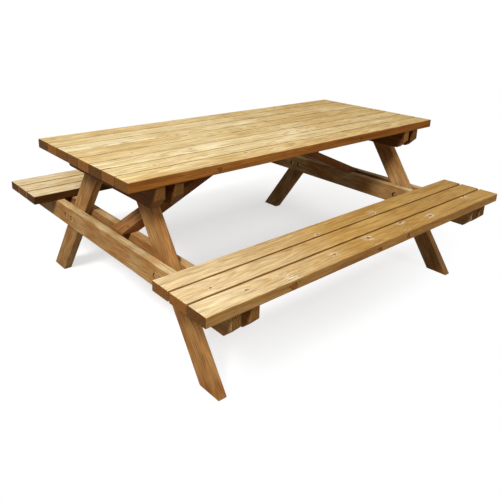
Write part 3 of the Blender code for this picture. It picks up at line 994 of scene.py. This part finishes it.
def build_frame(side_name, side, rng, woods):
    """One end frame: two legs, four bearers and a brace. Returns the screws that it takes."""
    outward = Vector((side, 0, 0))
    places, stack = bolt_places(side_name, side)
    cuts = [(level, end_name, bolt_cutter(place, outward, stack)) for level, end_name, place in places]
    screws = []
    for end_name, end in ENDS:
        own = [part for _, cut_end, part in cuts if cut_end == end_name]
        make_leg(f"leg_{side_name}_{end_name}", end, own, rng, woods["leg"])
    boards = {"top": TOP_NAMES, "seat": SEAT_NAMES[0] + SEAT_NAMES[1]}
    for level in ("seat", "top"):
        for place in ("outer", "inner"):
            name = f"{level}_bearer_{side_name}_{place}"
            under = bearer_screws(name, boards[level])
            own = [part for cut_level, _, part in cuts if cut_level == level]
            own += [counterbore(spot, aim, COUNTERBORE_DEPTH, COUNTERBORE / 2) for spot, aim in under]
            make_bearer(name, own, rng, woods[level])
            screws += [(spot - aim * (COUNTERBORE_DEPTH - SCREW_CLEARANCE), aim) for spot, aim in under]
    held = brace_screws(side_name, side)
    make_brace("brace_" + side_name, side_name, side, [countersink(*pair) for pair in held], rng,
               woods["brace"])
    screws += [(spot - aim * SCREW_SINK, aim) for spot, aim in held]
    return screws


def build_fasteners(tree, screws, bolt_metal, screw_metal):
    bolts, nuts, bolt_nodes, nut_nodes = [], [], [], []
    for side_name, side in SIDES:
        outward = Vector((side, 0, 0))
        for level, end_name, number in bolt_keys():
            ending = f"{level}_{side_name}_{end_name}_{number}"
            low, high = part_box("bolt_" + ending)
            middle = (low + high) / 2
            tip = high.x if side < 0 else low.x
            bolts.append((Vector((tip, middle.y, middle.z)), outward))
            bolt_nodes.append("bolt_" + ending)
            low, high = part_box("nut_" + ending)
            seat = low.x if side < 0 else high.x
            nuts.append((Vector((seat, middle.y, middle.z)), -outward))
            nut_nodes.append("nut_" + ending)
    low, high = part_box(bolt_nodes[0])
    set_fasteners("coach_bolts", bolt_mesh(high.x - low.x), bolts, tree, BOLT_SEED, bolt_metal, bolt_nodes)
    low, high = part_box(nut_nodes[0])
    set_fasteners("flanged_nuts", nut_mesh(high.x - low.x), nuts, tree, NUT_SEED, bolt_metal, nut_nodes)
    set_fasteners("timber_screws", screw_mesh(), screws, tree, SCREW_SEED, screw_metal, [])


def build_table():
    top_wood = treated_pine("planed_treated_pine_top", TOP_LOOKS)
    front_wood = treated_pine("planed_treated_pine_front_seat", SEAT_LOOKS)
    shaded_back_wood = treated_pine("planed_treated_pine_back_seat", SHADED_BACK_SEAT_LOOKS)
    frame_wood = treated_pine("planed_treated_pine_frame", FRAME_LOOKS)
    woods = {"leg": frame_wood, "seat": frame_wood,
             "top": treated_pine("planed_treated_pine_top_bearers", SHADED_UNDER_TOP_LOOKS),
             "brace": treated_pine("planed_treated_pine_braces", BRACE_LOOKS)}
    bolt_metal = zinc_plate("yellow_passivated_steel_bolts", "#B4955C", "#84683C", 0.55, 0.6)
    screw_metal = zinc_plate("yellow_passivated_steel_screws", "#B0986A", "#806A40", 0.44, 0.9)
    build_boards(board_rack_tree(), top_wood, (front_wood, shaded_back_wood))
    rng = random.Random(FRAME_SEED)
    screws = []
    for side_name, side in SIDES:
        screws += build_frame(side_name, side, rng, woods)
    build_fasteners(hardware_tree(), screws, bolt_metal, screw_metal)


# Stage ------------------------------------------------------------------------------------------
def studio_floor():
    """A plain white floor that keeps a faint shadow and throws back little light."""
    size = 30.0
    mesh = bpy.data.meshes.new("studio_floor")
    z = CAD_LOW.z - FLOOR_GAP
    mesh.from_pydata([(-size, -size, z), (size, -size, z), (size, size, z), (-size, size, z)], [],
                     [[0, 1, 2, 3]])
    floor = new_object("studio_floor", mesh)
    material, tree = new_material("matt_white_studio_floor")
    here = add_node(tree, "ShaderNodeTexCoord").outputs["Object"]
    moved = add_node(tree, VECTOR_MATH, {0: here, 1: (0.0, -0.35, 0.0)}, operation="ADD")
    shrunk = add_node(tree, VECTOR_MATH, {0: moved, 1: (0.58, 1.0, 0.0)}, operation="MULTIPLY")
    away = add_node(tree, VECTOR_MATH, {0: shrunk}, operation="LENGTH")
    near = add_node(tree, MAP_RANGE, {"Value": away, "From Min": 0.65, "From Max": 1.15, "To Min": 1.0,
                                      "To Max": 0.0}, interpolation_type="SMOOTHSTEP")
    white = add_node(tree, "ShaderNodeEmission", {"Color": (1, 1, 1, 1), "Strength": 1.0})
    base = add_node(tree, "ShaderNodeEmission", {"Color": (1, 1, 1, 1), "Strength": 0.61})
    matt = add_node(tree, "ShaderNodeBsdfDiffuse", {"Color": (0.62, 0.62, 0.62, 1)})
    shaded = add_node(tree, "ShaderNodeAddShader", {0: base, 1: matt})
    shown = add_node(tree, "ShaderNodeMixShader", {0: near, 1: white, 2: shaded})
    dull = add_node(tree, "ShaderNodeBsdfDiffuse", {"Color": (0.28, 0.28, 0.28, 1)})
    seen = seen_directly(tree)
    both = add_node(tree, "ShaderNodeMixShader", {0: seen, 1: dull, 2: shown})
    add_node(tree, "ShaderNodeOutputMaterial", {"Surface": both})
    mesh.materials.append(material)


def seen_directly(tree):
    """1 for rays from the camera and for rays in mirrors and glass, 0 for the light on the object."""
    path = add_node(tree, "ShaderNodeLightPath").outputs
    first = add_node(tree, MATH, {0: path["Is Camera Ray"], 1: path["Is Glossy Ray"]},
                     operation="MAXIMUM")
    both = add_node(tree, MATH, {0: first, 1: path["Is Transmission Ray"]}, operation="MAXIMUM")
    return both


def studio_world():
    """White where it is seen, and a low even fill on the object."""
    world = bpy.data.worlds.new("studio_world")
    world.use_nodes = True
    tree = world.node_tree
    tree.nodes.clear()
    fill = add_node(tree, "ShaderNodeBackground", {"Color": linear("#FFFAF4"), "Strength": 0.20})
    white = add_node(tree, "ShaderNodeBackground", {"Color": (1, 1, 1, 1), "Strength": 1.0})
    mixed = add_node(tree, "ShaderNodeMixShader", {0: seen_directly(tree), 1: fill, 2: white})
    add_node(tree, "ShaderNodeOutputWorld", {"Surface": mixed})
    bpy.context.scene.world = world


def softbox(name, place, target, size, watts, tint):
    light = bpy.data.lights.new(name, "AREA")
    light.shape = "SQUARE"
    light.size = size
    light.energy = watts
    light.color = linear(tint)[:3]
    lamp = new_object(name, light)
    lamp.location = place
    lamp.rotation_euler = (Vector(target) - Vector(place)).to_track_quat("-Z", "Y").to_euler()


def studio_camera():
    """Stands off the front left corner at eye height for a seated person, looking down a little."""
    data = bpy.data.cameras.new("studio_camera")
    data.sensor_width = 36.0
    data.lens = 39.62
    data.shift_x = 0.0265
    data.shift_y = -0.1409
    data.clip_end = 100.0
    camera = new_object("studio_camera", data)
    yaw, pitch, roll = -0.7180, -0.3127, 0.0283
    camera.matrix_world = (Matrix.Translation((-1.7306, -1.8429, 1.2843)) @ Matrix.Rotation(yaw, 4, "Z")
                           @ Matrix.Rotation(math.pi / 2 + pitch, 4, "X") @ Matrix.Rotation(roll, 4, "Z"))
    bpy.context.scene.camera = camera


def build_stage():
    studio_floor()
    studio_world()
    softbox("key_softbox", (-3.7, -1.75, 3.8), (0, 0, 0.4), 1.0, 214.0, "#FFFDF8")
    softbox("front_softbox", (0.9, -3.9, 2.2), (0, 0, 0.4), 1.6, 36.0, "#FFFFFF")
    softbox("overhead_softbox", (0.1, 0.3, 3.6), (0, 0, 0.4), 2.6, 38.0, "#FFFFFF")
    studio_camera()
    bpy.context.scene.view_settings.view_transform = "Standard"


build_table()
build_stage()
